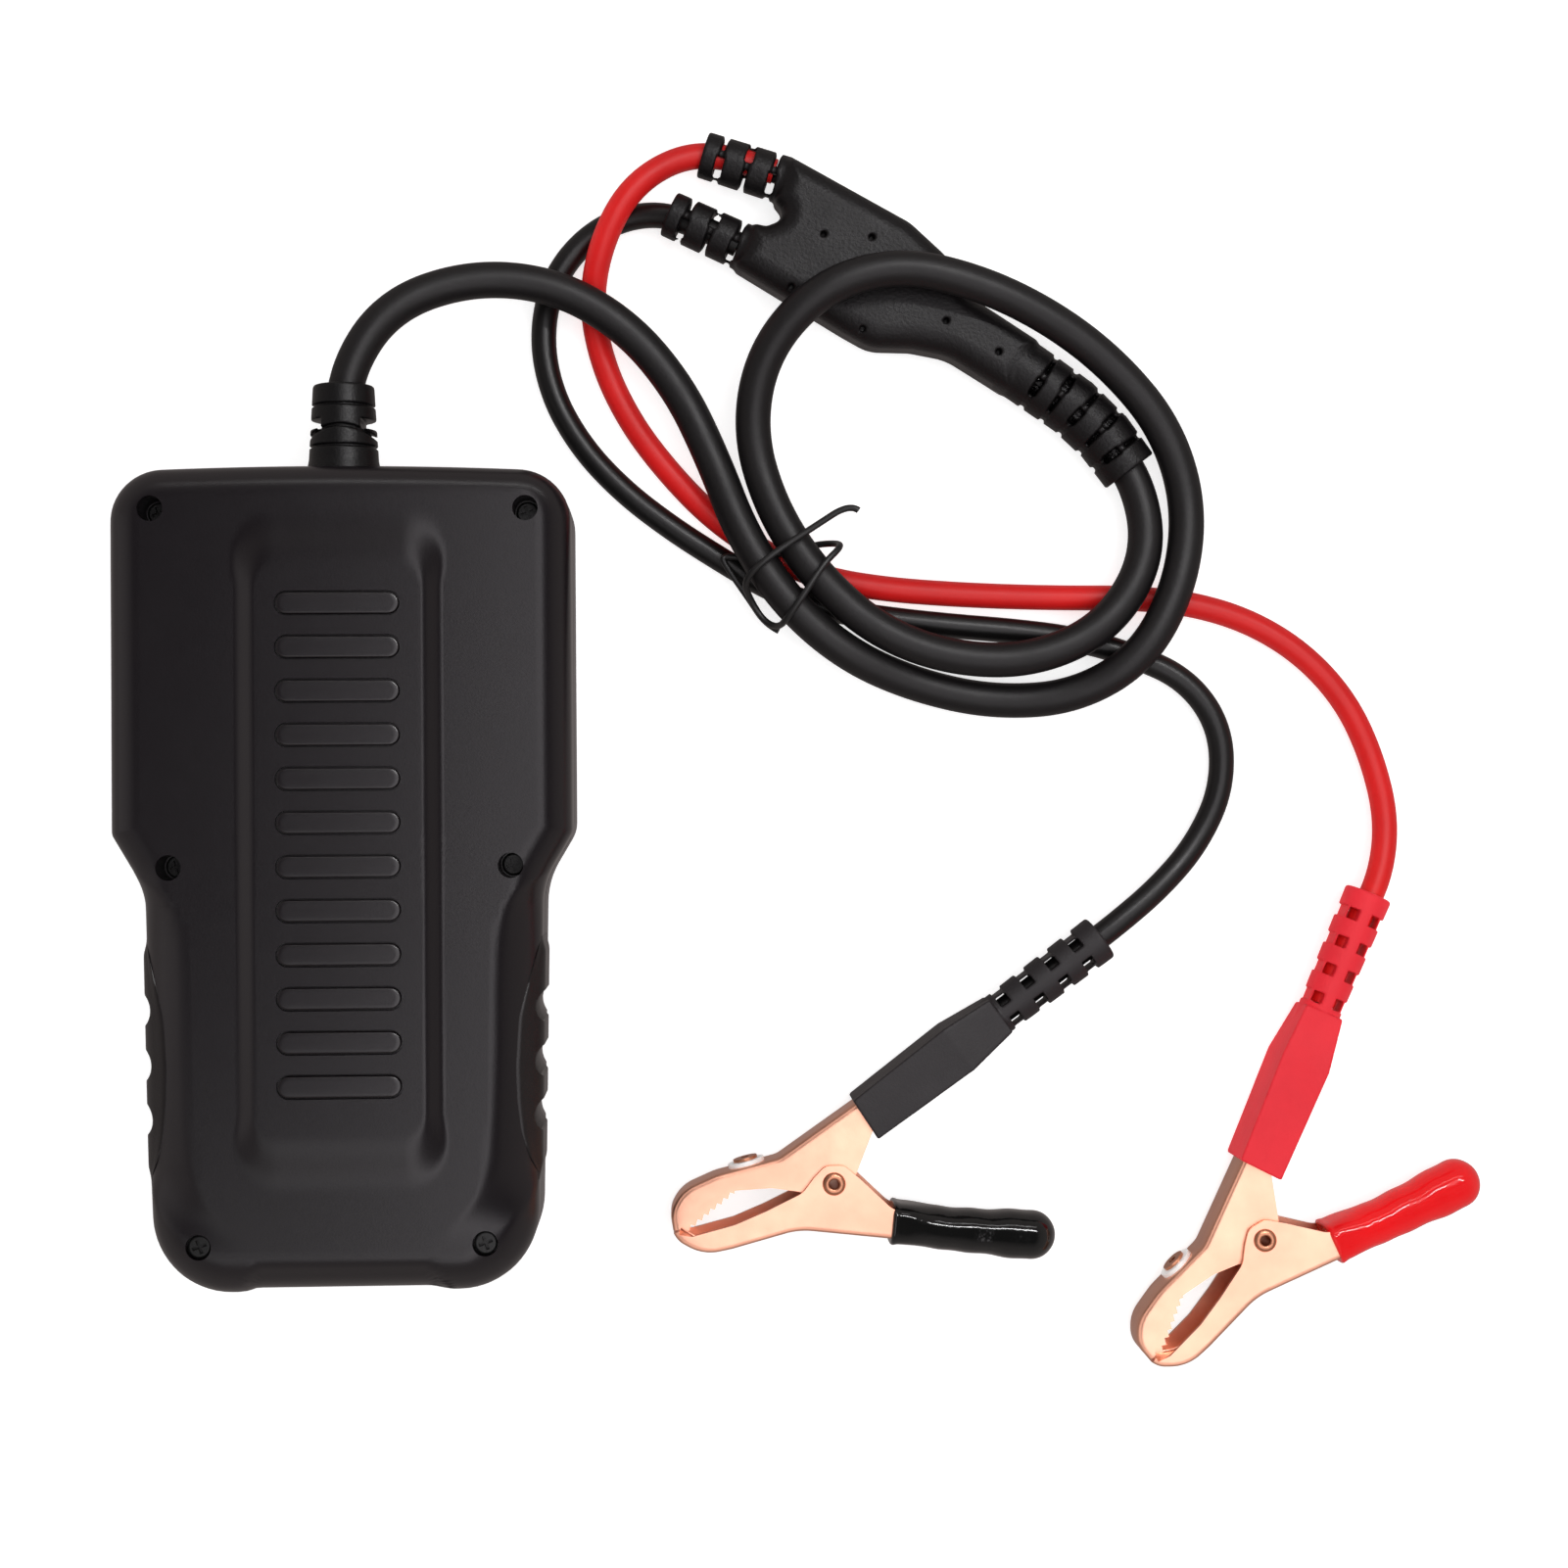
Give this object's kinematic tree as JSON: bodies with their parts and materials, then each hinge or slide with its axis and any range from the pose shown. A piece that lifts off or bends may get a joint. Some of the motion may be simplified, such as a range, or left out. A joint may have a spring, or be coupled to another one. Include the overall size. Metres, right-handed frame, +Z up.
{
  "type": "battery tester",
  "caption": "Hand-held vehicle battery tester lying face down, with a looped cable, a Y splitter and red and black clip leads whose sprung copper jaws open.",
  "frame": {"origin": "centre of the housing's footprint on the table, on the rim round the display face", "axes": "+Y along the housing towards the cable end, +Z up out of the rear cover, +X to the right seen from above"},
  "size_m": [0.2657, 0.2438, 0.0324],
  "materials": {
    "housing": "fine moulded texture, charcoal",
    "grip": "matte",
    "screw_black": "black oxide",
    "cable_black": "satin PVC",
    "lead_red": "satin PVC",
    "tie": "coated wire",
    "overlay": "film",
    "window": "clear",
    "lcd": "display",
    "white_plastic": "natural nylon",
    "board": "solder mask",
    "steel": "plain",
    "chip": "moulded",
    "shunt": "ceramic",
    "key": "silicone",
    "boot_black": "matte",
    "boot_red": "matte",
    "sleeve_black": "dipped PVC",
    "sleeve_red": "dipped PVC",
    "copper": "copper-plated steel",
    "rivet": "copper-plated"
  },
  "bodies": {
    "tester": {"rear_cover": "housing", "front_cover": "housing", "grip_left": "grip", "grip_right": "grip", "cover_screws": "screw_black", "display_window": "window", "front_overlay": "overlay", "lcd_panel": "lcd", "lcd_frame": "white_plastic", "main_board": "board", "board_screws": "steel", "processor_chip": "chip", "capacitors": "chip", "shunt_resistors": "shunt", "buzzer": "chip", "cable_connector": "white_plastic", "inner_wires": "lead_red", "key_switches": "chip", "strain_relief": "cable_black", "main_cable": "cable_black", "y_splitter": "cable_black", "red_lead": "lead_red", "black_lead": "cable_black", "twist_tie": "tie", "black_boot": "boot_black", "black_fixed_jaw": "copper", "black_contact_strip": "copper", "black_insulator": "white_plastic", "black_contact_rivet": "rivet", "black_pivot_rivet": "rivet", "black_spring": "steel", "red_boot": "boot_red", "red_fixed_jaw": "copper", "red_contact_strip": "copper", "red_insulator": "white_plastic", "red_contact_rivet": "rivet", "red_pivot_rivet": "rivet", "red_spring": "steel"},
    "black_jaw": {"black_moving_jaw": "copper", "black_sleeve": "sleeve_black"},
    "red_jaw": {"red_moving_jaw": "copper", "red_sleeve": "sleeve_red"},
    "key_up": {"key_up": "key"},
    "key_down": {"key_down": "key"},
    "key_left": {"key_left": "key"},
    "key_right": {"key_right": "key"},
    "key_enter": {"key_enter": "key"},
    "key_exit": {"key_exit": "key"}
  },
  "joints": [
    {"name": "black_jaw_hinge", "type": "hinge", "parent": "tester", "child": "black_jaw", "pos_m": [0.09297, -0.06066, 0.0065], "axis": [0, 0, 1], "range_deg": [0, 30], "stiffness_Nm_per_rad": 0.5, "springref_deg": -40.11, "deforming": ["black_spring"]},
    {"name": "red_jaw_hinge", "type": "hinge", "parent": "tester", "child": "red_jaw", "pos_m": [0.17769, -0.07289, 0.0065], "axis": [0, 0, 1], "range_deg": [0, 30], "stiffness_Nm_per_rad": 0.5, "springref_deg": -40.11, "deforming": ["red_spring"]},
    {"name": "key_up_press", "type": "slide", "parent": "tester", "child": "key_up", "axis": [0, 0, 1], "range_m": [0, 0.0008], "stiffness_N_per_m": 600, "springref_m": -0.001},
    {"name": "key_down_press", "type": "slide", "parent": "tester", "child": "key_down", "axis": [0, 0, 1], "range_m": [0, 0.0008], "stiffness_N_per_m": 600, "springref_m": -0.001},
    {"name": "key_left_press", "type": "slide", "parent": "tester", "child": "key_left", "axis": [0, 0, 1], "range_m": [0, 0.0008], "stiffness_N_per_m": 600, "springref_m": -0.001},
    {"name": "key_right_press", "type": "slide", "parent": "tester", "child": "key_right", "axis": [0, 0, 1], "range_m": [0, 0.0008], "stiffness_N_per_m": 600, "springref_m": -0.001},
    {"name": "key_enter_press", "type": "slide", "parent": "tester", "child": "key_enter", "axis": [0, 0, 1], "range_m": [0, 0.0008], "stiffness_N_per_m": 600, "springref_m": -0.001},
    {"name": "key_exit_press", "type": "slide", "parent": "tester", "child": "key_exit", "axis": [0, 0, 1], "range_m": [0, 0.0008], "stiffness_N_per_m": 600, "springref_m": -0.001}
  ]
}
